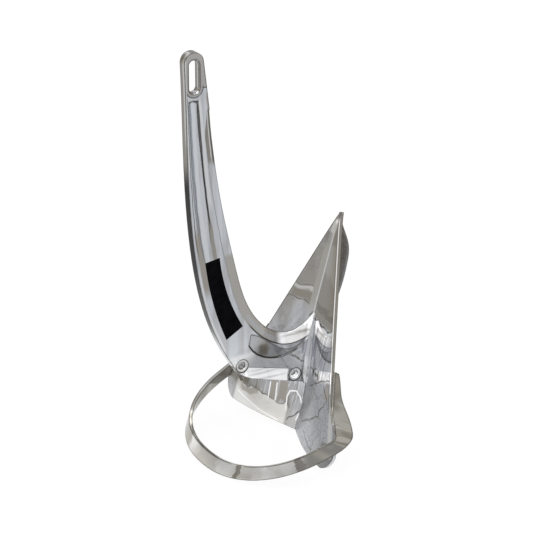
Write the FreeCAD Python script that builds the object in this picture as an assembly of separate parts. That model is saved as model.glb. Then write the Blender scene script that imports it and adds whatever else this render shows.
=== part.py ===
import FreeCAD, Part
import math
import os

Vector = FreeCAD.Vector

# Roll bar anchor of polished stainless steel, 10 kg size, held upright by the shackle in its slot.
# Millimetres. X runs from the back of the shank towards the fluke, Y across the anchor, Z up.
# The origin is the centre of the upper round end of the shackle slot. The anchor is symmetric in Y.

# Shank plate, cut from thick plate
shank_thickness = 15.0
head_half_width = 17.0
head_centre_z = 4.0
slot_width = 16.0
slot_travel = 36.0
slot_chamfer = 2.2
front_edge_points = [(28.0, -94.0), (46.2, -230.0), (71.2, -346.0), (113.0, -452.5)]
front_elbow = (160.0, -487.0)
front_foot = (222.0, -463.0)
back_edge_points = [(-14.0, -146.0), (-4.0, -308.0), (23.0, -436.0)]
back_elbow = (62.0, -519.0)
heel_round = (74.0, -538.0)
underside_start = (100.0, -554.5)
foot_reach = 60.0

# Bevels that thin the leading edge and the underside of the shank
bevel_start_z = -58.0
bevel_run_in = 60.0
bevel_tip_share = 0.1
bevel_samples = 30
bevel_overrun = 0.5
bevel_top_width = 12.0
bevel_elbow_width = 19.0
bevel_depth = 4.5
underside_bevel_widths = [12.0, 21.5, 24.0, 24.0]
underside_bevel_depth = 3.5

# Shallow panel sunk in each side of the shank, deepest under the eye, and the crescent at the elbow
panel_depth = 1.8
panel_top_z = -56.0
panel_foot_z = -318.0
panel_front = [(5.0, -66.0), (11.0, -153.0), (22.0, -257.0), (25.0, -306.0)]
panel_back = [(-10.0, -66.0), (-7.0, -146.0), (-1.0, -244.0), (8.0, -306.0)]
crescent_depth = 1.4
crescent_upper = [(98.0, -474.0), (118.0, -484.0), (150.0, -509.0), (207.0, -499.0)]
crescent_lower = [(94.0, -493.0), (112.0, -514.0), (143.0, -525.5), (207.0, -502.0)]

# Trip line holes low on the shank, each in a round pad that keeps the full thickness
trip_hole_radius = 6.0
trip_hole_chamfer = 2.0
trip_pad_radius = 13.0
rear_trip_hole = (81.0, -526.0)
front_trip_hole = (181.0, -565.0)

# Smooth weld fillets between the foot of the shank and the fluke: station, leg
weld_legs = [(178.0, 2.0), (215.0, 7.0), (250.0, 10.5), (284.0, 11.0), (298.0, 6.0)]
weld_hollow = 0.4
weld_overlap = 1.0

# Fluke blade, pressed from plate into a trough. Stations run from the toe along its chord.
toe = (269.0, -296.0)
fluke_rake_deg = 17.2
fluke_thickness = 5.5
toe_tip_station = 3.5
toe_end_station = -0.5
side_slope = 0.425
side_root = 1.5
flare_start = 292.0
trailing_station = 385.0
keel_fall = 0.02
keel_drop = 24.5
keel_drop_start = 160.0
keel_drop_end = 340.0
wing_lift = 9.8
fold_width_share = 0.62
bend_sharpness = 4.0
blade_margin = 16.0
blade_rows = 8
blade_columns = 8

# Ears of the blade behind the roll bar: station past the trailing edge, overhang past the bar's feet
ear_root_past_foot = 3.0
ear_points = [(-31.0, -0.5), (-23.0, 1.0), (-17.0, -0.5), (1.0, -15.5), (5.5, -26.0)]

# Toe ballast, a solid keel welded under the front of the blade: station, half width, depth
ballast_sections = [
    (6.0, 3.0, 6.0),
    (32.0, 13.0, 20.5),
    (57.0, 22.0, 35.5),
    (84.0, 28.0, 40.5),
    (118.0, 30.0, 42.0),
    (160.0, 26.0, 37.0),
    (226.0, 6.0, 22.5),
]
ballast_nose_share = 0.12
ballast_belly_share = 0.62
ballast_belly_width_share = 0.55

# Roll bar: a flat hoop over the back of the fluke, whose ends widen into skids along its sides
bar_thickness = 6.0
bar_half_width = 171.0
front_foot_inset = 7.0
front_foot_station = 331.0
front_foot_height = 9.5
front_crown_station = 427.0
front_crown_height = 130.5
rear_foot_station = 344.0
rear_foot_height = -8.7
rear_crown_station = 452.0
rear_crown_height = 132.0
hoop_fullness = 2.25
hoop_samples = 12
# Skid: station and height of its upper edge, station, height and outward lean of its lower edge
skid_rows = [
    (239.0, 1.5, 241.0, -5.5, 0.0),
    (253.0, 3.0, 253.0, -8.5, 0.0),
    (280.0, 3.0, 276.0, -12.5, 0.0),
    (304.0, 3.5, 305.0, -25.0, 5.0),
    (318.0, 4.5, 326.0, -28.5, 5.5),
    (325.5, 6.5, 332.5, -21.0, 8.0),
]

# Adhesive label on the near side of the shank
label_thickness = 0.3
label_front = [(41.0, -325.5), (58.5, -403.0), (82.5, -454.5)]
label_back = [(15.0, -329.5), (27.0, -397.0), (52.0, -472.0)]

RAKE = math.radians(fluke_rake_deg)
ALONG = Vector(-math.sin(RAKE), 0, -math.cos(RAKE))
UNDER = Vector(math.cos(RAKE), 0, -math.sin(RAKE))
ACROSS = Vector(0, 1, 0)
FAR = 400.0
CLOSING = 1e-4


# Small helpers

def flat(point, y=0.0):
    """A point of a side view outline, at a height across the anchor."""
    return Vector(point[0], y, point[1])


def on_fluke(station, y, depth):
    """A point from its station along the fluke's chord, its Y and its depth under the chord plane."""
    return flat(toe, y) + ALONG * station + UNDER * depth


def curve(points):
    """A smooth edge through points."""
    spline = Part.BSplineCurve()
    spline.interpolate(points)
    return spline.toShape()


def line(a, b):
    return Part.LineSegment(a, b).toShape()


def arc(a, middle, b):
    return Part.Arc(a, middle, b).toShape()


def face(edges):
    """A flat face inside a closed ring of edges."""
    return Part.Face(Part.Wire(Part.__sortEdges__(edges)))


def mirrored(shape):
    return shape.mirror(Vector(0, 0, 0), ACROSS)


def solid_of(faces):
    """A solid inside faces that close."""
    solid = Part.Solid(Part.Shell(faces))
    solid.fix(CLOSING, CLOSING, CLOSING)
    if solid.Volume < 0:
        solid.reverse()
    return solid


def largest(shape):
    return max(shape.Solids, key=lambda solid: solid.Volume)


# The blade

def side_half_width(station):
    return side_root + side_slope * station


def keel_depth(station):
    """Depth of the fold line; it drops smoothly to the scoop at the rear."""
    share = min(1.0, max(0.0, (station - keel_drop_start) / (keel_drop_end - keel_drop_start)))
    return keel_fall * station + keel_drop * share * share * (3.0 - 2.0 * share)


def trough_depth(station, y):
    """Depth of the upper face under the chord plane: it rises from the fold and bends to a flat wing."""
    keel = keel_depth(station)
    width = fold_width_share * side_half_width(max(station, 0.0))
    spread = y / width
    rise = spread / (1.0 + spread ** bend_sharpness) ** (1.0 / bend_sharpness)
    return keel - (keel + wing_lift * max(station, 0.0) / trailing_station) * rise


def wing_faces():
    """The upper faces of both wings, wider than the finished outline; they meet in the fold."""
    first = -blade_margin
    last = trailing_station + 2.0 * blade_margin
    flare = bar_half_width - side_half_width(rear_foot_station)
    rows = []
    for i in range(blade_rows + 1):
        share = i / float(blade_rows)
        station = first + (last - first) * share
        span = side_half_width(station) + blade_margin + flare * share
        across = [span * j / blade_columns for j in range(blade_columns + 1)]
        rows.append([on_fluke(station, y, trough_depth(station, y)) for y in across])
    surface = Part.BSplineSurface()
    surface.interpolate(rows)
    wing = surface.toShape()
    return [wing, mirrored(wing)]


def swept(faces, depth):
    """The space between faces and their copies at a depth under them."""
    return [piece.extrude(UNDER * depth) for piece in faces]


def blade_outline():
    """The blade's outline in the chord plane: straight sides, seats for the roll bar, ears, rear edge."""
    def at(station, y):
        return on_fluke(station, y, 0.0)

    flare = at(flare_start, side_half_width(flare_start))
    seats = [at(row[0], bar_line(row[0])) for row in skid_rows if row[0] > flare_start]
    foot = at(front_foot_station, bar_line(front_foot_station))
    root = at(rear_foot_station + ear_root_past_foot, bar_half_width)
    ear = [at(trailing_station + past, bar_half_width + overhang) for past, overhang in ear_points]
    half = [
        line(at(toe_tip_station, side_half_width(toe_tip_station)), flare),
        curve([flare] + seats + [foot]),
        line(foot, root),
        curve([root] + ear),
        line(ear[-1], at(trailing_station, 0.0)),
    ]
    tip = arc(
        at(toe_tip_station, side_half_width(toe_tip_station)),
        at(toe_end_station, 0.0),
        at(toe_tip_station, -side_half_width(toe_tip_station)),
    )
    edges = [tip]
    for edge in half:
        edges += [edge, mirrored(edge)]
    return face(edges)


def make_fluke(wings, roll_bar):
    """Both wings inside the outline, their sides cut to seat against the roll bar and the skids."""
    column = blade_outline()
    column.translate(UNDER * -FAR)
    column = column.extrude(UNDER * (2.0 * FAR))
    near, far = [largest(wing.common(column).cut(roll_bar)) for wing in swept(wings, fluke_thickness)]
    return largest(near.fuse(far))


# The roll bar

def bar_line(station):
    """Half width of the middle of the strip where it runs along the side of the blade."""
    seat = max(0.0, station - flare_start) / (front_foot_station - flare_start)
    half = bar_thickness / 2.0
    foot_spread = bar_half_width - front_foot_inset - side_half_width(front_foot_station) - half
    return side_half_width(station) + half + foot_spread * seat * seat


def hoop_point(share, half_width, foot_station, foot_height, crown_station, crown_height):
    """A point of a hoop edge; share runs from 0 at the foot to 1 at the crown."""
    angle = share * math.pi / 2.0
    rise = math.sin(angle) ** (2.0 / hoop_fullness)
    y = half_width * math.cos(angle) ** (2.0 / hoop_fullness)
    station = foot_station + (crown_station - foot_station) * rise
    return on_fluke(station, y, -(foot_height + (crown_height - foot_height) * rise))


def bar_rows():
    """Pairs of points on the front and rear edges, from one skid's tip over the crown to the other's."""
    half = []
    for upper_station, upper_height, lower_station, lower_height, lean in skid_rows:
        y = bar_line(upper_station)
        spread = side_slope * (lower_station - upper_station)
        half.append((
            on_fluke(upper_station, y, -upper_height),
            on_fluke(lower_station, y + spread + lean, -lower_height),
        ))
    for i in range(hoop_samples + 1):
        share = i / float(hoop_samples)
        half.append((
            hoop_point(share, bar_half_width - front_foot_inset, front_foot_station, front_foot_height,
                       front_crown_station, front_crown_height),
            hoop_point(share, bar_half_width, rear_foot_station, rear_foot_height,
                       rear_crown_station, rear_crown_height),
        ))
    back = [(Vector(a.x, -a.y, a.z), Vector(b.x, -b.y, b.z)) for a, b in reversed(half[:-1])]
    return half + back


def make_roll_bar():
    rows = bar_rows()
    corners = [[], [], [], []]
    for i, (front, rear) in enumerate(rows):
        before = rows[max(0, i - 1)]
        after = rows[min(len(rows) - 1, i + 1)]
        run = after[0] + after[1] - before[0] - before[1]
        out = run.cross(rear - front).normalize() * (bar_thickness / 2.0)
        corners[0].append(front + out)
        corners[1].append(rear + out)
        corners[2].append(rear - out)
        corners[3].append(front - out)
    edges = [curve(points) for points in corners]
    faces = [Part.makeRuledSurface(edges[k], edges[(k + 1) % 4]) for k in range(4)]
    for end in (0, -1):
        ring = [points[end] for points in corners]
        faces.append(Part.Face(Part.makePolygon(ring + [ring[0]])))
    return solid_of(faces)


# The toe ballast

def make_ballast(wings):
    wires = []
    for station, half_width, depth in ballast_sections:
        top = -blade_margin
        shoulder = fluke_thickness
        belly = shoulder + (depth - shoulder) * ballast_belly_share
        side = [(half_width, top), (half_width, shoulder), (half_width * ballast_belly_width_share, belly)]
        nose = (half_width * ballast_nose_share, depth)
        left = [on_fluke(station, -y, d) for y, d in side + [nose]]
        right = [on_fluke(station, y, d) for y, d in side + [nose]]
        wires.append(Part.makePolygon(left + right[::-1] + [left[0]]))
    body = Part.makeLoft(wires, True, False)
    undersides = [wing.translated(UNDER * fluke_thickness) for wing in wings]
    return largest(body.cut(swept(undersides, -FAR)))


# The shank

def front_edge():
    head_right = Vector(head_half_width, 0, head_centre_z)
    return curve([head_right] + [flat(p) for p in front_edge_points] + [flat(front_elbow), flat(front_foot)])


def underside_end():
    """Where the straight underside would meet the level of the front of the foot."""
    return flat(underside_start) + UNDER * (flat(front_foot) - flat(underside_start)).dot(UNDER)


def shank_outline():
    head_left = Vector(-head_half_width, 0, head_centre_z)
    head_right = Vector(head_half_width, 0, head_centre_z)
    head_top = Vector(0, 0, head_centre_z + head_half_width)
    front_tip = flat(front_foot) + UNDER * foot_reach
    rear_tip = underside_end() + UNDER * foot_reach
    return face([
        arc(head_left, head_top, head_right),
        front_edge(),
        line(flat(front_foot), front_tip),
        line(front_tip, rear_tip),
        line(rear_tip, flat(underside_start)),
        curve([flat(underside_start), flat(heel_round), flat(back_elbow)]),
        curve([flat(back_elbow)] + [flat(p) for p in reversed(back_edge_points)] + [head_left]),
    ])


def bevel_cutter(points, insides, widths, depth):
    """Takes a bevel off the near side along an edge: its points, inward directions and widths."""
    inner = []
    outer = []
    y_face = -shank_thickness / 2.0
    for point, inside, width in zip(points, insides, widths):
        local = depth * min(1.0, width / bevel_top_width)
        inside_reach = width * (1.0 + bevel_overrun)
        depth_reach = local * (1.0 + bevel_overrun)
        inner.append(point + inside * inside_reach + ACROSS * (y_face - local * bevel_overrun))
        outer.append(point - inside * width * bevel_overrun + ACROSS * (y_face + depth_reach))
    skin = Part.makeLoft([Part.Wire(curve(inner)), Part.Wire(curve(outer))], False, True)
    return skin.Faces[0].extrude(ACROSS * -shank_thickness)


def front_bevel():
    edge = front_edge()
    first, last = edge.ParameterRange
    points = []
    insides = []
    widths = []
    for i in range(bevel_samples + 1):
        parameter = first + (last - first) * i / bevel_samples
        point = edge.valueAt(parameter)
        drop = bevel_start_z - point.z
        if drop < 0.0:
            continue
        points.append(point)
        insides.append(edge.tangentAt(parameter).cross(ACROSS) * -1.0)
        share = min(1.0, drop / (bevel_start_z - front_elbow[1]))
        width = bevel_top_width + (bevel_elbow_width - bevel_top_width) * share
        widths.append(width * min(1.0, bevel_tip_share + drop / bevel_run_in))
    points.append(points[-1] + (points[-1] - points[-2]).normalize() * foot_reach)
    insides.append(insides[-1])
    widths.append(widths[-1])
    return bevel_cutter(points, insides, widths, bevel_depth)


def underside_bevel():
    start = flat(heel_round)
    bend = flat(underside_start)
    end = underside_end() + UNDER * foot_reach
    run = (end - bend).normalize()
    inside = run.cross(ACROSS)
    points = [start, bend, (bend + end) * 0.5, end]
    slant = (bend - start).normalize().cross(ACROSS)
    insides = [slant, (slant + inside).normalize(), inside, inside]
    return bevel_cutter(points, insides, underside_bevel_widths, underside_bevel_depth)


def plug(centre, radius, chamfer=0.0):
    """A round bar right across the shank, widening at both faces where it has a chamfer."""
    half = shank_thickness / 2.0
    body = Part.makeCylinder(radius, 4.0 * half, flat(centre, -2.0 * half), ACROSS)
    if chamfer:
        start = flat(centre, -half - chamfer)
        mouth = Part.makeCone(radius + 2.0 * chamfer, radius, 2.0 * chamfer, start, ACROSS)
        body = body.fuse([mouth, mirrored(mouth)])
    return body


def slot_cutter():
    """The shackle slot with chamfered mouths: a bar with round ends, swept down from the origin."""
    half = shank_thickness / 2.0
    inner_radius = slot_width / 2.0
    outer_radius = inner_radius + 2.0 * slot_chamfer
    wires = []
    for y, radius in ((-half - slot_chamfer, outer_radius), (-half + slot_chamfer, inner_radius)):
        top_left = Vector(-radius, y, 0)
        top_right = Vector(radius, y, 0)
        low_left = Vector(-radius, y, -slot_travel)
        low_right = Vector(radius, y, -slot_travel)
        wires.append(Part.Wire([
            arc(top_left, Vector(0, y, radius), top_right),
            line(top_right, low_right),
            arc(low_right, Vector(0, y, -slot_travel - radius), low_left),
            line(low_left, top_left),
        ]))
    mouth = Part.makeLoft(wires, True, True)
    through = Part.Face(wires[1]).extrude(ACROSS * shank_thickness)
    return [through, mouth, mirrored(mouth)]


def pocket(edges, depth, tilt_z=None):
    """A flat hollow in the near side; with tilt_z its floor rises to the face at that height."""
    y_face = -shank_thickness / 2.0
    floor = face(edges)
    floor.translate(ACROSS * y_face)
    if tilt_z is None:
        floor.translate(ACROSS * depth)
    else:
        angle = math.degrees(math.atan2(depth, panel_top_z - tilt_z))
        floor.rotate(Vector(0, y_face, tilt_z), Vector(1, 0, 0), -angle)
    return floor.extrude(ACROSS * -shank_thickness)


def panel_pocket():
    top = flat(((panel_front[0][0] + panel_back[0][0]) / 2.0, panel_top_z))
    foot = flat(((panel_front[-1][0] + panel_back[-1][0]) / 2.0, panel_foot_z))
    return pocket([
        curve([flat(p) for p in panel_front]),
        arc(flat(panel_front[-1]), foot, flat(panel_back[-1])),
        curve([flat(p) for p in panel_back]),
        arc(flat(panel_back[0]), top, flat(panel_front[0])),
    ], panel_depth, panel_foot_z)


def crescent_pocket():
    return pocket([
        curve([flat(p) for p in crescent_upper]),
        line(flat(crescent_upper[-1]), flat(crescent_lower[-1])),
        curve([flat(p) for p in crescent_lower]),
        line(flat(crescent_lower[0]), flat(crescent_upper[0])),
    ], crescent_depth)


def weld_fillet():
    """The hollow weld on one side of the foot, running down the middle of the blade."""
    wires = []
    half = shank_thickness / 2.0
    for station, leg in weld_legs:
        inner = trough_depth(station, half)
        outer = trough_depth(station, half + leg)
        root = on_fluke(station, half - weld_overlap, inner + fluke_thickness)
        top = on_fluke(station, half - weld_overlap, inner - leg)
        shin = on_fluke(station, half, inner - leg)
        brim = on_fluke(station, half + leg, outer)
        low = on_fluke(station, half + leg, outer + fluke_thickness)
        middle = (shin + brim) * 0.5
        hollow = middle + (on_fluke(station, half, inner) - middle) * weld_hollow
        wires.append(Part.makePolygon([root, top, shin, hollow, brim, low, root]))
    return Part.makeLoft(wires, True, True)


def make_shank(wings):
    plate = shank_outline()
    plate.translate(ACROSS * (-shank_thickness / 2.0))
    plate = plate.extrude(ACROSS * shank_thickness)
    bevels = [front_bevel(), underside_bevel()]
    bevels += [mirrored(bevel) for bevel in bevels]
    pads = [plug(hole, trip_pad_radius).common(plate) for hole in (rear_trip_hole, front_trip_hole)]
    hollows = [panel_pocket(), crescent_pocket()]
    hollows += [mirrored(hollow) for hollow in hollows]
    body = plate.cut(bevels + hollows)
    weld = weld_fillet()
    body = body.fuse(pads + [weld, mirrored(weld)])
    holes = [plug(hole, trip_hole_radius, trip_hole_chamfer) for hole in (rear_trip_hole, front_trip_hole)]
    body = body.cut(holes + slot_cutter())
    return largest(body.cut(swept(wings, FAR)))


# The label

def make_label():
    outline = face([
        curve([flat(p) for p in label_front]),
        line(flat(label_front[-1]), flat(label_back[-1])),
        curve([flat(p) for p in label_back]),
        line(flat(label_back[0]), flat(label_front[0])),
    ])
    outline.translate(ACROSS * (-shank_thickness / 2.0))
    return outline.extrude(ACROSS * -label_thickness)


def main():
    os.makedirs("parts", exist_ok=True)
    wings = wing_faces()
    roll_bar = make_roll_bar()
    parts = {
        "roll_bar": roll_bar,
        "fluke": make_fluke(wings, roll_bar),
        "toe_ballast": make_ballast(wings),
        "shank": make_shank(wings),
        "shank_label": make_label(),
    }
    for name, shape in parts.items():
        print(name, shape.isValid(), round(shape.Volume), len(shape.Solids))
        shape.exportStep("parts/" + name + ".step")


main()
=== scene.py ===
import math
import bpy
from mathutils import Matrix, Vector


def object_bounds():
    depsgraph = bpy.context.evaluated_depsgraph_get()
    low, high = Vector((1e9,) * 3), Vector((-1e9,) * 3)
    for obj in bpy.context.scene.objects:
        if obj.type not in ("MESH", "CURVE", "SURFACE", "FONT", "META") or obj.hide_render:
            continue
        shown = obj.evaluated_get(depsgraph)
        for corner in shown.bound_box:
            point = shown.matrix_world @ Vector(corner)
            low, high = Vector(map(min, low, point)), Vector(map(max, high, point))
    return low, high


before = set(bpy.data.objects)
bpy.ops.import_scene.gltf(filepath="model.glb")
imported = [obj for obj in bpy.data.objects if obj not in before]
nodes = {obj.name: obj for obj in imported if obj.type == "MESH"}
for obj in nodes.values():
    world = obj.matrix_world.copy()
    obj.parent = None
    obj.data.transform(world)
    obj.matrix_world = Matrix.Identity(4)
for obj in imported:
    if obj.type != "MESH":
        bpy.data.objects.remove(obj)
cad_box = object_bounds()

# The camera stands far off on the near side of the anchor, somewhat behind it and above it, and
# looks through a long lens at the middle of the photograph's frame.
look_at = Vector((0.13088, 0.0, -0.36270))
camera_turn = math.radians(30.0)
camera_height = math.radians(23.5)
camera_distance = 3.5

camera_data = bpy.data.cameras.new("camera")
camera_data.lens = 146.56
camera_data.sensor_width = 36.0
camera_data.clip_end = 50.0
camera = bpy.data.objects.new("camera", camera_data)
bpy.context.scene.collection.objects.link(camera)
towards_camera = Vector((
    -math.sin(camera_turn) * math.cos(camera_height),
    -math.cos(camera_turn) * math.cos(camera_height),
    math.sin(camera_height),
))
camera.location = look_at + towards_camera * camera_distance
camera.rotation_euler = (-towards_camera).to_track_quat("-Z", "Y").to_euler()
bpy.context.scene.camera = camera


# The studio: white for the camera. The polish mirrors a soft grey room with a bright wall on the
# near side, a darker and warmer band over it, and a lighter ceiling.
def add(tree, kind, **settings):
    """A node of a kind, with its settings."""
    made = tree.nodes.new(kind)
    for name, value in settings.items():
        setattr(made, name, value)
    return made


def ramp(tree, source, stops):
    """A colour ramp fed by a socket; each stop is a position and a colour."""
    made = add(tree, "ShaderNodeValToRGB")
    elements = made.color_ramp.elements
    while len(elements) < len(stops):
        elements.new(0.5)
    for element, (position, colour) in zip(elements, stops):
        element.position = position
        element.color = (*colour, 1.0)
    tree.links.new(source, made.inputs["Fac"])
    return made.outputs["Color"]


def blend(tree, share, first, second, kind="MIX"):
    """Two colours mixed by a share, each a socket or a plain value."""
    made = add(tree, "ShaderNodeMix", data_type="RGBA", blend_type=kind)
    for socket, value in (("Factor", share), ("A", first), ("B", second)):
        slot = [s for s in made.inputs if s.name == socket and s.enabled][0]
        if isinstance(value, bpy.types.NodeSocket):
            tree.links.new(value, slot)
        elif socket == "Factor":
            slot.default_value = value
        else:
            slot.default_value = (*value, 1.0)
    return [s for s in made.outputs if s.enabled][0]


def share_between(tree, source, start, end):
    """The share from 0 to 1 of the way from a start to an end."""
    made = add(tree, "ShaderNodeMapRange")
    made.inputs["From Min"].default_value = start
    made.inputs["From Max"].default_value = end
    tree.links.new(source, made.inputs["Value"])
    return made.outputs["Result"]


world = bpy.data.worlds.new("studio")
bpy.context.scene.world = world
world.use_nodes = True
sky = world.node_tree
sky.nodes.clear()
sky_direction = add(sky, "ShaderNodeTexCoord")
sky_axes = add(sky, "ShaderNodeSeparateXYZ")
sky.links.new(sky_direction.outputs["Generated"], sky_axes.inputs["Vector"])
# from under the horizon, at 0.5, up to the zenith, at 1
sky_height = ramp(sky, share_between(sky, sky_axes.outputs["Z"], -1.0, 1.0), [
    (0.47, (0.50, 0.49, 0.47)),
    (0.53, (0.62, 0.61, 0.59)),
    (0.60, (0.36, 0.34, 0.31)),
    (0.68, (0.62, 0.62, 0.62)),
    (0.80, (1.05, 1.05, 1.06)),
    (1.00, (0.70, 0.71, 0.73)),
])
# from the far wall, at 0, to the bright near wall, at 1
sky_sides = ramp(sky, share_between(sky, sky_axes.outputs["Y"], 0.55, -0.85), [
    (0.0, (0.72, 0.72, 0.72)),
    (0.35, (0.80, 0.78, 0.74)),
    (0.75, (1.25, 1.26, 1.28)),
    (1.0, (1.45, 1.46, 1.48)),
])
sky_clouds = add(sky, "ShaderNodeTexNoise")
sky_clouds.inputs["Scale"].default_value = 3.2
sky_clouds.inputs["Detail"].default_value = 2.0
sky_clouds.inputs["Distortion"].default_value = 1.2
sky.links.new(sky_direction.outputs["Generated"], sky_clouds.inputs["Vector"])
sky_patches = ramp(sky, sky_clouds.outputs["Fac"], [
    (0.40, (0.72, 0.70, 0.67)),
    (0.50, (1.0, 1.0, 1.0)),
    (0.62, (1.22, 1.22, 1.23)),
])
room_walls = blend(sky, 1.0, sky_height, sky_sides, "MULTIPLY")
room = add(sky, "ShaderNodeBackground")
sky.links.new(blend(sky, 1.0, room_walls, sky_patches, "MULTIPLY"), room.inputs["Color"])
white = add(sky, "ShaderNodeBackground")
white.inputs["Color"].default_value = (1.0, 1.0, 1.0, 1.0)


def shown_to(tree, ray_share, others, these):
    """One shader for some rays and another for the others."""
    made = add(tree, "ShaderNodeMixShader")
    tree.links.new(ray_share, made.inputs["Fac"])
    tree.links.new(others, made.inputs[1])
    tree.links.new(these, made.inputs[2])
    return made.outputs["Shader"]


sky_rays = add(sky, "ShaderNodeLightPath")
sky_out = add(sky, "ShaderNodeOutputWorld")
sky.links.new(
    shown_to(sky, sky_rays.outputs["Is Camera Ray"], room.outputs["Background"], white.outputs["Background"]),
    sky_out.inputs["Surface"])

# The floor is a wide white board just under the lowest point of the roll bar. The polish sees it
# bright close by and greyer further off.
floor_gap = 0.0005
floor_size = 30.0
floor_rings_reach = 4.0
floor_glow_share = 0.86

bpy.ops.object.select_all(action="DESELECT")
bpy.ops.mesh.primitive_plane_add(size=floor_size, location=(0.0, 0.0, cad_box[0][2] - floor_gap))
floor = bpy.context.active_object
floor.name = "floor"
floor_paint = bpy.data.materials.new("floor_paint")
floor_paint.use_nodes = True
paint = floor_paint.node_tree
paint.nodes.clear()
floor_matt = add(paint, "ShaderNodeBsdfDiffuse")
floor_matt.inputs["Color"].default_value = (0.88, 0.88, 0.88, 1.0)
floor_place = add(paint, "ShaderNodeTexCoord")
floor_far = add(paint, "ShaderNodeVectorMath", operation="LENGTH")
paint.links.new(floor_place.outputs["Object"], floor_far.inputs[0])
floor_rings = ramp(paint, share_between(paint, floor_far.outputs["Value"], 0.0, floor_rings_reach), [
    (0.03, (0.95, 0.95, 0.95)),
    (0.09, (0.78, 0.79, 0.80)),
    (0.15, (0.56, 0.57, 0.59)),
    (0.50, (0.60, 0.61, 0.63)),
    (1.00, (0.50, 0.49, 0.47)),
])
floor_axes = add(paint, "ShaderNodeSeparateXYZ")
paint.links.new(floor_place.outputs["Object"], floor_axes.inputs["Vector"])
floor_near_side = share_between(paint, floor_axes.outputs["Y"], -2.0, -2.6)
floor_mirrored = add(paint, "ShaderNodeEmission")
paint.links.new(blend(paint, floor_near_side, floor_rings, (1.0, 1.0, 1.0)), floor_mirrored.inputs["Color"])
floor_glow = add(paint, "ShaderNodeEmission")
floor_glow.inputs["Strength"].default_value = 1.05
floor_rays = add(paint, "ShaderNodeLightPath")
floor_share = add(paint, "ShaderNodeMath", operation="MULTIPLY")
floor_share.inputs[1].default_value = floor_glow_share
paint.links.new(floor_rays.outputs["Is Camera Ray"], floor_share.inputs[0])
floor_for_camera = shown_to(
    paint, floor_share.outputs["Value"], floor_matt.outputs["BSDF"], floor_glow.outputs["Emission"])
floor_for_polish = shown_to(
    paint, floor_rays.outputs["Is Glossy Ray"], floor_for_camera, floor_mirrored.outputs["Emission"])
floor_out = add(paint, "ShaderNodeOutputMaterial")
paint.links.new(floor_for_polish, floor_out.inputs["Surface"])
floor.data.materials.append(floor_paint)


def softbox(name, place, size, power):
    """A square lamp that faces the anchor's middle."""
    lamp = bpy.data.lights.new(name, "AREA")
    lamp.shape = "SQUARE"
    lamp.size = size
    lamp.energy = power
    holder = bpy.data.objects.new(name, lamp)
    holder.location = place
    holder.rotation_euler = (look_at - Vector(place)).to_track_quat("-Z", "Y").to_euler()
    bpy.context.scene.collection.objects.link(holder)


softbox("key_lamp", place=(-1.0, -2.0, 2.6), size=1.6, power=20.0)
softbox("side_lamp", place=(-2.4, 0.8, 0.4), size=0.8, power=6.0)
softbox("rear_lamp", place=(1.8, 1.8, 1.6), size=1.2, power=10.0)


# The shank: one thick steel plate cut to a swept hook, bevelled and mirror polished, its foot welded
# to the fold of the fluke. Its colour carries painted reflections: long soft lines down its arm, a back
# edge painted dark, and a painted white glare on the bevels at the elbow and under it.
def value(tree, operation, first, second=None):
    """A sum, a product and the like of sockets or numbers."""
    made = add(tree, "ShaderNodeMath", operation=operation)
    for slot, given in zip(made.inputs, (first, second)):
        if isinstance(given, bpy.types.NodeSocket):
            tree.links.new(given, slot)
        elif given is not None:
            slot.default_value = given
    return made.outputs["Value"]


def band(tree, source, low, high, soft):
    """A mask: 1 from low to high, faded to 0 over soft on both sides."""
    sides = []
    for outer, inner in ((low - soft, low), (high + soft, high)):
        side = add(tree, "ShaderNodeMapRange", interpolation_type="SMOOTHSTEP")
        side.inputs["From Min"].default_value = outer
        side.inputs["From Max"].default_value = inner
        tree.links.new(source, side.inputs["Value"])
        sides.append(side.outputs["Result"])
    return value(tree, "MULTIPLY", *sides)


def area(tree, axes, limits):
    """A mask from limits on named axes, each low, high and soft."""
    mask = None
    for axis, limit in limits.items():
        part = band(tree, axes[axis], *limit)
        mask = part if mask is None else value(tree, "MULTIPLY", mask, part)
    return mask


def strokes_over(tree, axes, colour, everywhere, strokes):
    """Strokes laid on a colour in turn, each a colour and its limits; everywhere limits them all."""
    for stroke, limits in strokes:
        colour = blend(tree, area(tree, axes, {**everywhere, **limits}), colour, stroke)
    return colour


def noise(tree, source, scale, detail, distortion=0.0):
    """Cloudy noise over a vector."""
    made = add(tree, "ShaderNodeTexNoise")
    made.inputs["Scale"].default_value = scale
    made.inputs["Detail"].default_value = detail
    made.inputs["Distortion"].default_value = distortion
    tree.links.new(source, made.inputs["Vector"])
    return made.outputs["Fac"]


def wandering(tree, axes, measure, width, scale, detail, distortion=0.0):
    """A measure that wanders to both sides by noise, over a width in all."""
    drift = value(tree, "SUBTRACT", noise(tree, axes["place"], scale, detail, distortion), 0.5)
    return value(tree, "ADD", measure, value(tree, "MULTIPLY", drift, width))


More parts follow.
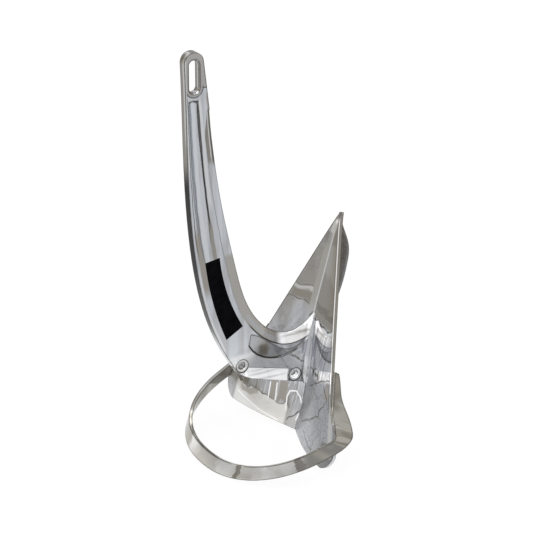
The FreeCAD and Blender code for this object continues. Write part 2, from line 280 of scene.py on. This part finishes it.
def steel_start(name, light, dark, stretch, turn, cloud_scale, cloud_share):
    """Polished steel: streaks, stretched and turned by degrees, under some share of clouds; on the polished
    parts both are painted reflections, on the ballast its rough tone.
    """
    steel = bpy.data.materials.new(name)
    steel.use_nodes = True
    tree = steel.node_tree
    axes = {}
    for kind, output, names in (("ShaderNodeTexCoord", "Object", ("x", "y", "z")),
                                ("ShaderNodeNewGeometry", "Normal", ("nx", "ny", "nz"))):
        source = add(tree, kind)
        parts = add(tree, "ShaderNodeSeparateXYZ")
        tree.links.new(source.outputs[output], parts.inputs["Vector"])
        axes.update(zip(names, parts.outputs))
        if kind == "ShaderNodeTexCoord":
            axes["place"] = source.outputs[output]
    stretched = add(tree, "ShaderNodeMapping")
    stretched.inputs["Scale"].default_value = stretch
    stretched.inputs["Rotation"].default_value = (0.0, math.radians(turn), 0.0)
    tree.links.new(axes["place"], stretched.inputs["Vector"])
    # streaks that are painted reflections on the polished parts and rough tone on the ballast
    grain_and_reflections = noise(tree, stretched.outputs["Vector"], scale=1.0, detail=3.0, distortion=0.4)
    middle = tuple((a + b) / 2.0 for a, b in zip(light, dark))
    colour = ramp(tree, grain_and_reflections, [(0.36, dark), (0.50, middle), (0.60, light)])
    cloud = ramp(tree, noise(tree, axes["place"], cloud_scale, detail=1.5, distortion=1.4), [
        (0.34, (1.12, 1.12, 1.13)),
        (0.50, (1.0, 1.0, 1.0)),
        (0.54, (0.74, 0.72, 0.69)),
        (0.66, (1.05, 1.05, 1.05)),
    ])
    return steel, axes, blend(tree, cloud_share, colour, cloud, "MULTIPLY")


def steel_end(steel, axes, colour, glare, roughness, edge, edge_colour, dull=None):
    """Rounded edges painted dark as reflections, soft waves in the polish, and masks where a painted white
    glare shines or where it is dull.
    """
    tree = steel.node_tree
    shader = tree.nodes["Principled BSDF"]
    rounded = add(tree, "ShaderNodeBevel", samples=6)
    rounded.inputs["Radius"].default_value = edge
    flat = add(tree, "ShaderNodeNewGeometry")
    same = add(tree, "ShaderNodeVectorMath", operation="DOT_PRODUCT")
    tree.links.new(rounded.outputs["Normal"], same.inputs[0])
    tree.links.new(flat.outputs["Normal"], same.inputs[1])
    # the share of the edge's colour, a painted dark reflection along the edges, grows as the rounded normal
    # turns away from the flat one
    rim = add(tree, "ShaderNodeMapRange")
    rim.inputs["From Min"].default_value = 0.999
    rim.inputs["From Max"].default_value = 0.96
    rim.inputs["To Max"].default_value = 0.92
    tree.links.new(same.outputs["Value"], rim.inputs["Value"])
    tree.links.new(blend(tree, rim.outputs["Result"], colour, edge_colour), shader.inputs["Base Color"])
    shader.inputs["Metallic"].default_value = 1.0
    if glare is not None:
        shader.inputs["Emission Color"].default_value = (1.0, 1.0, 1.0, 1.0)
        tree.links.new(glare, shader.inputs["Emission Strength"])
    haze = add(tree, "ShaderNodeMapRange")
    haze.inputs["To Min"].default_value = roughness * 0.6
    haze.inputs["To Max"].default_value = roughness * 1.5
    tree.links.new(noise(tree, axes["place"], scale=60.0, detail=2.0), haze.inputs["Value"])
    rough = haze.outputs["Result"]
    if dull is not None:
        rough = value(tree, "ADD", rough, dull)
    tree.links.new(rough, shader.inputs["Roughness"])
    waves = add(tree, "ShaderNodeBump")
    waves.inputs["Strength"].default_value = 0.3
    waves.inputs["Distance"].default_value = 0.002
    tree.links.new(noise(tree, axes["place"], scale=18.0, detail=1.0), waves.inputs["Height"])
    tree.links.new(rounded.outputs["Normal"], waves.inputs["Normal"])
    tree.links.new(waves.outputs["Normal"], shader.inputs["Normal"])


def cut_across(piece, height, furthest):
    """The X of a piece's back and front edges at a height, with nothing counted past a furthest X."""
    places = [vertex.co for vertex in piece.data.vertices]
    crossings = []
    for edge in piece.data.edges:
        low, high = sorted((places[number] for number in edge.vertices), key=lambda place: place.z)
        if low.z <= height < high.z:
            crossings.append(low.lerp(high, (height - low.z) / (high.z - low.z)).x)
    crossings = [x for x in crossings if x < furthest]
    return min(crossings), max(crossings)


def edge_line(tree, height, rows):
    """The X of a curved edge by height; rows are height and X, from the lowest up."""
    bottom, top = rows[0][0], rows[-1][0]
    least_x, x_span = -0.02, 0.16
    shape = add(tree, "ShaderNodeFloatCurve")
    points = shape.mapping.curves[0].points
    while len(points) < len(rows):
        points.new(0.5, 0.5)
    for point, (z, x) in zip(points, rows):
        point.location = ((z - bottom) / (top - bottom), (x - least_x) / x_span)
    shape.mapping.update()
    tree.links.new(share_between(tree, height, bottom, top), shape.inputs["Value"])
    return value(tree, "ADD", value(tree, "MULTIPLY", shape.outputs["Value"], x_span), least_x)


def from_axis(tree, place, x, z):
    """The distance from an axis that runs across the anchor."""
    gap = add(tree, "ShaderNodeVectorMath", operation="SUBTRACT")
    gap.inputs[1].default_value = (x, 0.0, z)
    tree.links.new(place, gap.inputs[0])
    flattened = add(tree, "ShaderNodeVectorMath", operation="MULTIPLY")
    flattened.inputs[1].default_value = (1.0, 0.0, 1.0)
    tree.links.new(gap.outputs["Vector"], flattened.inputs[0])
    reach = add(tree, "ShaderNodeVectorMath", operation="LENGTH")
    tree.links.new(flattened.outputs["Vector"], reach.inputs[0])
    return reach.outputs["Value"]


def curve_through(knots, parts, reach):
    """Points evenly along a smooth curve through a few knots, over the first share of its way."""
    steps = [0.0]
    for start, end in zip(knots, knots[1:]):
        steps.append(steps[-1] + math.dist(start, end))
    points = []
    for number in range(parts + 1):
        way = steps[-1] * reach * number / parts
        pulls = [math.prod((way - other) / (own - other) for other in steps if other != own) for own in steps]
        points.append(tuple(sum(pull * knot[axis] for pull, knot in zip(pulls, knots)) for axis in (0, 1)))
    return points


def chart(tree, across, up):
    """Two measures laid out flat, as a vector."""
    made = add(tree, "ShaderNodeCombineXYZ")
    tree.links.new(across, made.inputs["X"])
    tree.links.new(up, made.inputs["Y"])
    return made.outputs["Vector"]


def drawn(tree, spot, paths):
    """The distance from a spot to the nearest of some bent lines, each a list of points."""
    nearest = None
    for path in paths:
        for start, end in zip(path, path[1:]):
            run = Vector((*end, 0.0)) - Vector((*start, 0.0))
            gap = add(tree, "ShaderNodeVectorMath", operation="SUBTRACT")
            gap.inputs[1].default_value = (*start, 0.0)
            tree.links.new(spot, gap.inputs[0])
            along = add(tree, "ShaderNodeVectorMath", operation="DOT_PRODUCT")
            along.inputs[1].default_value = run / run.length_squared
            tree.links.new(gap.outputs["Vector"], along.inputs[0])
            share = add(tree, "ShaderNodeClamp")
            tree.links.new(along.outputs["Value"], share.inputs["Value"])
            reached = add(tree, "ShaderNodeVectorMath", operation="SCALE")
            reached.inputs[0].default_value = run
            tree.links.new(share.outputs["Result"], reached.inputs["Scale"])
            apart = add(tree, "ShaderNodeVectorMath", operation="DISTANCE")
            tree.links.new(gap.outputs["Vector"], apart.inputs[0])
            tree.links.new(reached.outputs["Vector"], apart.inputs[1])
            distance = apart.outputs["Value"]
            nearest = distance if nearest is None else value(tree, "MINIMUM", nearest, distance)
    return nearest


shank_steel, shank, shank_colour = steel_start(
    "shank_steel", light=(0.82, 0.84, 0.87), dark=(0.66, 0.66, 0.67),
    stretch=(80.0, 4.0, 2.4), turn=-8.0, cloud_scale=9.0, cloud_share=0.25)
arm = shank_steel.node_tree

# across: 0 at the arm's back edge and 1 at its front edge; eye and collar: distances from the trip
# holes and from the foot of the slot; arc: distance from the crescent's lower line
arm_back_heights = (-0.49, -0.46, -0.43, -0.40, -0.36, -0.32, -0.28, -0.24, -0.20, -0.12, 0.0)
arm_front_heights = (-0.46, -0.43, -0.40, -0.36, -0.32, -0.28, -0.24, -0.20, -0.16, -0.12, -0.08, -0.04, 0.0)
arm_furthest = 0.15
rear_hole = (0.081, -0.526)
front_hole = (0.181, -0.565)
slot_foot = (0.0, -0.036)
crescent_lower = [(0.094, -0.493), (0.112, -0.514), (0.143, -0.5255), (0.207, -0.502)]
crescent_parts = 8
crescent_reach = 0.8

arm_back = edge_line(arm, shank["z"], [
    (height, cut_across(nodes["shank"], height, arm_furthest)[0]) for height in arm_back_heights])
arm_front = edge_line(arm, shank["z"], [
    (height, cut_across(nodes["shank"], height, arm_furthest)[1]) for height in arm_front_heights])
arm_across = value(arm, "DIVIDE", value(arm, "SUBTRACT", shank["x"], arm_back),
                   value(arm, "SUBTRACT", arm_front, arm_back))
shank["across"] = wandering(arm, shank, arm_across, width=0.05, scale=30.0, detail=2.0)
shank["eye"] = value(arm, "MINIMUM", from_axis(arm, shank["place"], *rear_hole),
                     from_axis(arm, shank["place"], *front_hole))
shank["collar"] = from_axis(arm, shank["place"], *slot_foot)
shank["arc"] = drawn(arm, chart(arm, shank["x"], shank["z"]), [
    curve_through(crescent_lower, crescent_parts, crescent_reach)])
side_face = (-1.5, -0.9, 0.05)
back_face = (-1.5, -0.6, 0.2)
slope = (-0.985, -0.3, 0.005)
forwards = (0.1, 1.5, 0.03)
panel_floor = (-0.0063, -0.0050, 0.0002)

on_side = {"ny": side_face}
on_bevel = {"nx": forwards, "ny": slope}
shank_colour = strokes_over(arm, shank, shank_colour, {}, [
    # painted reflections on the head around the slot and the collar under it, and painted dark lines under
    # the collar
    ((0.56, 0.54, 0.52), {"z": (-0.035, 0.03, 0.002), **on_side}),
    ((0.56, 0.54, 0.52), {"collar": (-1.0, 0.0135, 0.001), **on_side}),
    ((0.16, 0.15, 0.14), {"collar": (0.0145, 0.0153, 0.0010), "z": (-0.06, -0.035, 0.002), **on_side}),
    ((0.16, 0.15, 0.14), {"z": (-0.0375, -0.0365, 0.0008), "collar": (0.0145, 0.03, 0.001), **on_side}),
    ((0.20, 0.21, 0.22), {"z": (-0.0590, -0.0565, 0.0012), **on_side, "across": (0.15, 0.55, 0.05)}),
    ((0.95, 0.95, 0.94), {"z": (-0.16, 0.0, 0.03), **on_side, "across": (0.0, 0.06, 0.03)}),
    # the long painted reflections down the arm, light, dark and brown
    ((0.42, 0.45, 0.49), {"z": (-0.34, -0.062, 0.01), **on_side, "across": (0.19, 0.21, 0.05)}),
    ((0.90, 0.91, 0.93), {"z": (-0.34, -0.062, 0.01), **on_side, "across": (0.28, 0.34, 0.06)}),
    ((0.13, 0.12, 0.11), {"z": (-0.29, -0.075, 0.02), **on_side, "across": (0.520, 0.545, 0.025)}),
    ((0.46, 0.43, 0.38), {"z": (-0.322, -0.28, 0.03), **on_side, "across": (0.48, 0.56, 0.03)}),
    ((0.50, 0.46, 0.41), {"z": (-0.37, -0.29, 0.03), **on_side, "across": (0.10, 0.20, 0.05)}),
    ((0.52, 0.54, 0.56), {"z": (-0.42, -0.15, 0.03), **on_side, "across": (0.745, 0.755, 0.015)}),
    ((0.92, 0.92, 0.92), {"z": (-0.22, -0.07, 0.03), **on_side, "across": (0.60, 0.66, 0.04)}),
    ((0.20, 0.19, 0.17), {"z": (-0.30, -0.06, 0.03), **on_side, "across": (0.085, 0.095, 0.012)}),
    ((0.30, 0.31, 0.33), {"z": (-0.31, -0.20, 0.03), **on_side, "across": (0.215, 0.225, 0.015)}),
    ((0.96, 0.96, 0.96), {"z": (-0.52, -0.36, 0.03), **on_side, "across": (0.0, 0.05, 0.03)}),
    ((0.54, 0.51, 0.46), {"z": (-0.100, -0.055, 0.014), **on_side, "across": (0.93, 1.10, 0.06)}),
    ((1.0, 0.98, 0.94), {"z": (-0.088, -0.058, 0.006), **on_side, "across": (0.58, 0.61, 0.015)}),
    # the back edge, painted with a brown reflection at the top and nearly black painted shade lower down
    ((0.42, 0.39, 0.34), {"nx": back_face, "z": (-0.20, 0.03, 0.05)}),
    ((0.80, 0.79, 0.75), {"nx": back_face, "z": (-0.10, 0.03, 0.05), "y": (-0.0055, -0.0015, 0.001)}),
    ((0.03, 0.026, 0.022), {"nx": (-1.5, -0.55, 0.15), "z": (-0.44, -0.20, 0.05)}),
    # painted reflections on the bevels of the arm, the elbow and the underside, with painted dark lines
    # beside them
    ((0.36, 0.33, 0.29), {**on_bevel, "z": (-0.155, 0.0, 0.015)}),
    ((0.58, 0.55, 0.50), {**on_bevel, "z": (-0.50, -0.33, 0.01)}),
    ((0.60, 0.57, 0.52), {"nz": forwards, "ny": slope, "x": (0.08, 0.128, 0.006)}),
    ((0.12, 0.12, 0.12), {"y": (-0.00749, -0.0070, 0.0001), "nz": forwards, "x": (0.10, 0.25, 0.01)}),
    ((0.12, 0.12, 0.12), {"y": (-0.00749, -0.0073, 0.00004), "nz": (-0.5, -0.06, 0.02),
                          "x": (0.088, 0.166, 0.004)}),
    ((0.14, 0.13, 0.11), {**on_bevel, "z": (-0.16, 0.0, 0.015), "across": (0.94, 0.96, 0.015)}),
    ((0.85, 0.85, 0.84), {**on_bevel, "z": (-0.15, -0.05, 0.015), "across": (0.87, 0.90, 0.015)}),
    # a painted light reflection on the weld at the foot
    ((0.70, 0.71, 0.73), {"x": (0.203, 0.30, 0.003), "z": (-0.60, -0.470, 0.004)}),
    # painted shade in the crescent at the elbow, a painted brown reflection in it, a painted highlight
    # on the plate under it and painted black shade along its lower line
    ((0.62, 0.62, 0.62), {"y": panel_floor, **on_side, "z": (-0.54, -0.44, 0.005)}),
    ((0.36, 0.34, 0.31), {"y": panel_floor, **on_side, "x": (0.117, 0.126, 0.007),
                          "z": (-0.514, -0.501, 0.007)}),
    ((1.0, 1.0, 1.0), {"y": (-0.0078, -0.0072, 0.0001), "ny": (-1.5, -0.995, 0.002), "x": (0.06, 0.19, 0.01),
                       "z": (-0.56, -0.510, 0.008)}),
    ((0.03, 0.03, 0.03), {"arc": (-1.0, 0.0009, 0.0007), "y": (-0.0078, 0.0, 0.0002)}),
    # painted dark outlines on the rounded rims of the trip holes
    ((0.20, 0.20, 0.20), {"eye": (0.0108, 0.0116, 0.0010), **on_side}),
    ((0.30, 0.30, 0.30), {"eye": (0.0062, 0.0068, 0.0006)}),
])

# the glare of the elbow bevel, the underside bevel and the holes, broken by long streaks
elbow_glare = area(arm, shank, {
    "x": (0.158, 0.25, 0.014), "nz": (0.16, 1.5, 0.04), "y": (-0.0070, 0.0, 0.0003)})
under_glare = area(arm, shank, {
    "x": (0.090, 0.166, 0.004), "nz": (-0.5, -0.08, 0.02), "y": (-0.0072, -0.0042, 0.0003)})
eye_glare = value(arm, "MULTIPLY", 0.6, area(arm, shank, {
    "eye": (0.0074, 0.0096, 0.0010), "ny": (-1.5, -0.2, 0.1)}))
shank_glare = value(arm, "MAXIMUM", value(arm, "MAXIMUM", elbow_glare, under_glare), eye_glare)
long_streaks = add(arm, "ShaderNodeMapping")
long_streaks.inputs["Scale"].default_value = (8.0, 90.0, 160.0)
long_streaks.inputs["Rotation"].default_value = (0.0, math.radians(-18.0), 0.0)
arm.links.new(shank["place"], long_streaks.inputs["Vector"])
streaky = ramp(arm, noise(arm, long_streaks.outputs["Vector"], scale=1.0, detail=2.0), [
    (0.36, (0.15, 0.15, 0.15)), (0.46, (0.42, 0.42, 0.42)), (0.60, (0.52, 0.52, 0.52))])
shank_colour = blend(arm, shank_glare, shank_colour, (0.90, 0.90, 0.91))
# the outlines are painted dark as reflections along the edges, and painted light where the weld rounds the
# foot
shank_rim = blend(arm, area(arm, shank, {"x": (0.203, 0.30, 0.004), "z": (-0.60, -0.435, 0.004)}),
                  (0.05, 0.046, 0.04), (0.66, 0.67, 0.69))
steel_end(shank_steel, shank, shank_colour, value(arm, "MULTIPLY", shank_glare, streaky),
          roughness=0.12, edge=0.0031, edge_colour=shank_rim)
nodes["shank"].data.materials[0] = shank_steel

# The fluke: one steel plate pressed into a scoop with a fold down its middle. Its colour carries
# painted reflections of the shank and the roll bar in patches, with thin dark outlines and light arcs.
# Its near edge has a painted shine, its cut sides are darker, and its rear is duller.
fluke_steel, fluke, fluke_colour = steel_start(
    "fluke_steel", light=(0.80, 0.81, 0.84), dark=(0.56, 0.55, 0.54),
    stretch=(14.0, 20.0, 5.0), turn=17.0, cloud_scale=12.0, cloud_share=0.5)
blade = fluke_steel.node_tree

# station: distance from the toe along the blade; side: distance past the blade's straight side;
# ragged and wave: the station with a fine and with a broad wobble
toe = (0.269, 0.0, -0.296)
blade_lean = math.radians(17.2)
blade_side_start = 0.0015
blade_side_slope = 0.425
blade_from_toe = add(blade, "ShaderNodeVectorMath", operation="SUBTRACT")
blade_from_toe.inputs[1].default_value = toe
blade.links.new(fluke["place"], blade_from_toe.inputs[0])
blade_station = add(blade, "ShaderNodeVectorMath", operation="DOT_PRODUCT")
blade_station.inputs[1].default_value = (-math.sin(blade_lean), 0.0, -math.cos(blade_lean))
blade.links.new(blade_from_toe.outputs["Vector"], blade_station.inputs[0])
fluke["station"] = blade_station.outputs["Value"]
blade_spread = value(blade, "MULTIPLY", fluke["station"], blade_side_slope)
blade_side = value(blade, "ADD", blade_spread, blade_side_start)
fluke["side"] = value(blade, "SUBTRACT", value(blade, "ABSOLUTE", fluke["y"]), blade_side)
fluke["ragged"] = wandering(blade, fluke, fluke["station"], width=0.03, scale=60.0, detail=3.0)
fluke["wave"] = wandering(
    blade, fluke, fluke["station"], width=0.10, scale=16.0, detail=2.0, distortion=0.6)
upper_face = (-1.5, -0.5, 0.1)
on_top = {"nx": upper_face}

# painted grey reflections on the near wing's rear and beside the shank's foot, and thin dark painted
# reflected cracks over the whole blade
fluke_colour = strokes_over(blade, fluke, fluke_colour, on_top, [
    ((0.50, 0.51, 0.53), {"y": (-0.2, -0.002, 0.004), "station": (0.270, 0.45, 0.006)}),
    ((0.56, 0.57, 0.60), {"y": (-0.085, -0.016, 0.004), "station": (0.206, 0.250, 0.006)}),
])
# thin dark cracks painted as reflections on the upper face
reflected_crack_tone = ramp(blade, noise(blade, fluke["place"], scale=9.0, detail=5.0, distortion=1.8), [
    (0.486, (1.0, 1.0, 1.0)), (0.493, (0.16, 0.155, 0.14)), (0.498, (0.16, 0.155, 0.14)),
    (0.507, (1.0, 1.0, 1.0))])
reflected_crack_share = value(blade, "MULTIPLY", 0.28, area(blade, fluke, on_top))
fluke_colour = blend(blade, reflected_crack_share, fluke_colour, reflected_crack_tone, "MULTIPLY")
# a fine mottle on the near wing's rear, and a band of bright and brown columns on each wing that are painted
# reflections
mottle = ramp(blade, noise(blade, fluke["place"], scale=320.0, detail=4.0), [
    (0.36, (0.72, 0.72, 0.73)), (0.44, (0.96, 0.96, 0.97)), (0.60, (1.12, 1.12, 1.12))])
mottle_share = area(blade, fluke, {"station": (0.275, 0.45, 0.01), "y": (-0.2, 0.0, 0.005), **on_top})
fluke_colour = blend(blade, mottle_share, fluke_colour, mottle, "MULTIPLY")
blade_columns = add(blade, "ShaderNodeMapping")
blade_columns.inputs["Scale"].default_value = (5.0, 62.0, 5.0)
blade.links.new(fluke["place"], blade_columns.inputs["Vector"])
column_noise = noise(blade, blade_columns.outputs["Vector"], scale=1.0, detail=1.5, distortion=0.8)
column_tone = ramp(blade, column_noise, [
    (0.34, (0.40, 0.37, 0.33)), (0.42, (0.80, 0.80, 0.81)), (0.485, (0.85, 0.86, 0.88)),
    (0.50, (1.5, 1.5, 1.5)), (0.515, (0.85, 0.86, 0.88)), (0.56, (0.62, 0.61, 0.59)),
    (0.64, (1.1, 1.1, 1.1))])
near_columns = area(blade, fluke, {"y": (-0.085, 0.0, 0.01), "station": (0.19, 0.262, 0.006), **on_top})
far_columns = area(blade, fluke, {"y": (0.0, 0.2, 0.01), "station": (0.295, 0.348, 0.012), **on_top})
column_share = value(blade, "MULTIPLY", value(blade, "MAXIMUM", near_columns, far_columns), 0.85)
fluke_colour = blend(blade, column_share, fluke_colour, column_tone, "MULTIPLY")

# thin painted reflected lines, light and dark, drawn by station and Y; the dark ones shake to both sides
shake_width = 0.010
blade_chart = chart(blade, fluke["station"], fluke["y"])
blade_jitter = add(blade, "ShaderNodeTexNoise")
blade_jitter.inputs["Scale"].default_value = 90.0
blade_jitter.inputs["Detail"].default_value = 3.0
blade.links.new(fluke["place"], blade_jitter.inputs["Vector"])
blade_shake = add(blade, "ShaderNodeVectorMath", operation="SCALE")
blade_shake.inputs["Scale"].default_value = shake_width
blade.links.new(blade_jitter.outputs["Color"], blade_shake.inputs[0])
blade_spot = add(blade, "ShaderNodeVectorMath", operation="ADD")
blade.links.new(blade_chart, blade_spot.inputs[0])
blade.links.new(blade_shake.outputs["Vector"], blade_spot.inputs[1])
blade_level = add(blade, "ShaderNodeVectorMath", operation="MULTIPLY_ADD")
blade_level.inputs[1].default_value = (1.0, 1.0, 0.0)
blade_level.inputs[2].default_value = (-shake_width / 2.0, -shake_width / 2.0, 0.0)
blade.links.new(blade_spot.outputs["Vector"], blade_level.inputs[0])
fluke["dark_line"] = drawn(blade, blade_level.outputs["Vector"], [
    [(0.357, -0.031), (0.332, -0.080), (0.319, -0.098), (0.311, -0.098), (0.300, -0.107), (0.293, -0.107)],
    [(0.293, -0.035), (0.275, -0.064), (0.256, -0.103)],
    [(0.364, -0.050), (0.378, -0.105)],
    [(0.273, -0.095), (0.287, -0.111)],
    [(0.375, 0.020), (0.340, -0.012), (0.318, -0.008), (0.300, 0.000)],
])
fluke["light_line"] = drawn(blade, blade_chart, [
    [(0.361, 0.025), (0.337, 0.028), (0.326, 0.025), (0.321, 0.014), (0.328, 0.005), (0.343, -0.003),
     (0.369, 0.003)],
    [(0.327, 0.064), (0.357, 0.062)],
    [(0.323, 0.051), (0.353, 0.048)],
    [(0.372, 0.135), (0.381, 0.080), (0.384, 0.035)],
])

# the cut sides of the plate are darker than its upper face
plate_sides = area(blade, fluke, {"nx": (-0.5, 0.6, 0.1), "station": (-0.02, 0.31, 0.01)})
fluke_colour = blend(blade, plate_sides, fluke_colour, (0.40, 0.39, 0.36))
near_strip = (-0.2, -0.003, 0.002)
near_wing = (-0.2, 0.0, 0.001)
far_wing = (0.0, 0.2, 0.001)
far_patch = (0.0, 0.2, 0.004)
beside_foot = (-0.085, -0.01, 0.006)
far_rear = (0.026, 0.140, 0.006)
fluke_colour = strokes_over(blade, fluke, fluke_colour, on_top, [
    # painted brown reflections on the near wing above the shank's foot
    ((0.40, 0.375, 0.33), {"y": near_strip, "station": (0.018, 0.178, 0.012)}),
    ((0.50, 0.475, 0.43), {"wave": (0.055, 0.105, 0.012), "y": near_strip}),
    ((0.30, 0.28, 0.245), {"wave": (0.150, 0.165, 0.006), "y": near_strip, "station": (0.10, 0.178, 0.01)}),
    # painted wavy reflections on the far wing, behind the elbow
    ((0.55, 0.54, 0.52), {"wave": (0.118, 0.138, 0.003), "y": far_patch}),
    ((0.18, 0.17, 0.15), {"wave": (0.1390, 0.1402, 0.0008), "y": far_patch}),
    ((0.92, 0.92, 0.92), {"wave": (0.146, 0.153, 0.004), "y": far_patch}),
    ((0.48, 0.45, 0.41), {"wave": (0.160, 0.176, 0.004), "y": (0.0, 0.06, 0.01)}),
    ((0.22, 0.21, 0.19), {"wave": (0.1800, 0.1812, 0.0008), "y": far_patch}),
    ((0.56, 0.55, 0.53), {"wave": (0.060, 0.080, 0.006), "y": far_patch}),
    # painted brown reflections under the shank, and beside the near edge
    ((0.50, 0.47, 0.43), {"y": (0.031, 0.044, 0.002), "station": (0.315, 0.345, 0.004)}),
    ((0.54, 0.51, 0.47), {"y": (0.053, 0.060, 0.002), "station": (0.310, 0.350, 0.004)}),
    ((0.50, 0.47, 0.43), {"y": (-0.118, -0.100, 0.004), "station": (0.262, 0.285, 0.004)}),
    # the painted pale reflection on the rear of the far wing, its painted dark outline and a painted brown
    # reflection on it
    ((0.88, 0.875, 0.85), {"y": far_rear, "ragged": (0.354, 0.42, 0.002)}),
    ((0.26, 0.25, 0.23), {"ragged": (0.3520, 0.3532, 0.0008), "y": far_rear}),
    ((0.50, 0.47, 0.42), {"wave": (0.352, 0.360, 0.003), "y": (0.090, 0.125, 0.010)}),
    # the painted light and dark reflected lines, and those that cross the blade beside the shank's foot
    ((1.0, 1.0, 1.0), {"light_line": (-1.0, 0.0006, 0.0010)}),
    ((0.20, 0.19, 0.18), {"dark_line": (-1.0, 0.0005, 0.0012)}),
    ((1.0, 1.0, 1.0), {"ragged": (0.187, 0.193, 0.001), "y": beside_foot}),
    ((0.14, 0.13, 0.12), {"ragged": (0.1835, 0.1855, 0.0008), "y": beside_foot}),
    ((0.14, 0.13, 0.12), {"ragged": (0.2625, 0.2645, 0.0008), "y": beside_foot}),
    # painted highlights: the light strip beside the fold, the pale toe and the fold itself
    ((0.66, 0.65, 0.62), {"y": (0.004, 0.012, 0.004), "station": (0.06, 0.17, 0.02)}),
    ((0.93, 0.93, 0.92), {"y": (0.001, 0.2, 0.002), "station": (0.012, 0.034, 0.006)}),
    ((0.98, 0.98, 0.97), {"y": (-0.0012, 0.0012, 0.0012), "station": (0.01, 0.17, 0.01)}),
    # painted reflections on the ears
    ((0.30, 0.305, 0.31), {"y": (-0.19, -0.135, 0.01), "station": (0.352, 0.41, 0.006)}),
    ((0.40, 0.38, 0.34), {"y": (0.118, 0.19, 0.008), "ragged": (0.30, 0.345, 0.004)}),
    # painted highlight and shade lines along the sides, light on the near wing and dark on the far wing, and
    # the toe's tip darker
    ((0.22, 0.21, 0.19), {"side": (-0.0052, -0.0042, 0.0008), "station": (0.02, 0.30, 0.01), "y": near_wing}),
    ((1.0, 1.0, 1.0), {"side": (-0.0034, 0.01, 0.0007), "station": (0.012, 0.27, 0.006), "y": near_wing}),
    ((0.20, 0.19, 0.17), {"side": (-0.0014, 0.01, 0.0008), "station": (0.0, 0.36, 0.006), "y": far_wing}),
    ((0.70, 0.70, 0.69), {"side": (-0.0020, 0.01, 0.0008), "station": (0.27, 0.36, 0.01)}),
    ((0.42, 0.41, 0.39), {"station": (-0.02, 0.010, 0.006)}),
])

# what glares: the near side's line, the thin light lines and, less, the pale rear of the far wing
edge_glare = area(blade, fluke, {
    "side": (-0.0030, 0.01, 0.0006), "station": (0.012, 0.27, 0.006), **on_top, "y": near_wing})
line_glare = area(blade, fluke, {"light_line": (-1.0, 0.0006, 0.0010), **on_top})
rear_glare = value(blade, "MULTIPLY", 0.45, area(blade, fluke, {
    "y": far_rear, "ragged": (0.356, 0.42, 0.002), **on_top}))
fluke_glare = value(blade, "MAXIMUM", value(blade, "MAXIMUM", edge_glare, line_glare), rear_glare)
fluke_dull = value(blade, "MULTIPLY", 0.22, area(blade, fluke, {"station": (0.275, 0.45, 0.01), **on_top}))
steel_end(fluke_steel, fluke, fluke_colour, value(blade, "MULTIPLY", fluke_glare, 0.30),
          roughness=0.10, edge=0.0019, edge_colour=(0.09, 0.085, 0.075), dull=fluke_dull)
nodes["fluke"].data.materials[0] = fluke_steel

# The toe ballast: a solid steel keel that makes the anchor land point first. It is welded to the
# underside of both wings, under the point of the blade, and left rough and dark.
ballast_steel, ballast, ballast_colour = steel_start(
    "ballast_steel", light=(0.20, 0.18, 0.155), dark=(0.085, 0.074, 0.064),
    stretch=(420.0, 420.0, 300.0), turn=0.0, cloud_scale=50.0, cloud_share=0.3)
steel_end(ballast_steel, ballast, ballast_colour, None,
          roughness=0.32, edge=0.0035, edge_colour=(0.02, 0.018, 0.016))
nodes["toe_ballast"].data.materials[0] = ballast_steel

# The roll bar: a flat steel strip bent into a hoop, its ends cut wide as skids and welded along the
# sides of the blade. Its colour is painted warm as a reflection, with a few dark painted reflections on the
# crown.
bar_steel, bar, bar_colour = steel_start(
    "bar_steel", light=(0.88, 0.87, 0.84), dark=(0.61, 0.59, 0.555),
    stretch=(7.0, 12.0, 7.0), turn=0.0, cloud_scale=10.0, cloud_share=0.5)
hoop = bar_steel.node_tree
# along and out: Y and X with the same wobble
bar["along"] = wandering(hoop, bar, bar["y"], width=0.03, scale=45.0, detail=3.0, distortion=1.0)
bar["out"] = value(hoop, "ADD", bar["x"], value(hoop, "SUBTRACT", bar["along"], bar["y"]))
bar_colour = strokes_over(hoop, bar, bar_colour, {}, [
    # painted reflections on the crown, light and dark, from the near side to the far side
    ((0.40, 0.38, 0.34), {"along": (-0.0905, -0.0800, 0.0010), "x": (-0.1, 0.08, 0.01)}),
    ((0.95, 0.94, 0.92), {"along": (-0.0780, -0.0700, 0.0040), "x": (-0.1, 0.08, 0.01)}),
    ((0.30, 0.28, 0.25), {"out": (0.0960, 0.1080, 0.0010), "y": (-0.2, -0.12, 0.01),
                          "z": (-0.652, -0.60, 0.004)}),
    ((0.55, 0.53, 0.49), {"along": (-0.0300, 0.0100, 0.0100), "x": (-0.1, 0.06, 0.01)}),
    ((0.45, 0.43, 0.39), {"along": (0.0600, 0.1000, 0.0100), "x": (-0.1, 0.10, 0.01)}),
    # painted shade on the inside of the far half, and a painted darker reflection on the near skid
    ((0.26, 0.25, 0.22), {"y": (0.100, 0.150, 0.010), "x": (-0.1, 0.13, 0.01), "nx": (0.2, 1.5, 0.2)}),
    ((0.36, 0.345, 0.31), {"x": (0.12, 0.25, 0.03), "ny": (-1.5, -0.5, 0.2)}),
])
steel_end(bar_steel, bar, bar_colour, None,
          roughness=0.12, edge=0.0034, edge_colour=(0.07, 0.065, 0.055))
nodes["roll_bar"].data.materials[0] = bar_steel

# The label: a thin black adhesive film, stuck flat on the near side of the shank where its arm bends
# towards the elbow. It hardly shines.
label_film = bpy.data.materials.new("label_film")
label_film.use_nodes = True
film = label_film.node_tree
film_shader = film.nodes["Principled BSDF"]
film_place = add(film, "ShaderNodeTexCoord")
film_black = ramp(film, noise(film, film_place.outputs["Object"], scale=90.0, detail=2.0), [
    (0.3, (0.0015, 0.0015, 0.002)), (0.7, (0.004, 0.004, 0.005))])
film.links.new(film_black, film_shader.inputs["Base Color"])
film_shader.inputs["Roughness"].default_value = 0.9
film_shader.inputs["Specular IOR Level"].default_value = 0.03
nodes["shank_label"].data.materials[0] = label_film

bpy.context.scene.view_settings.view_transform = "Standard"
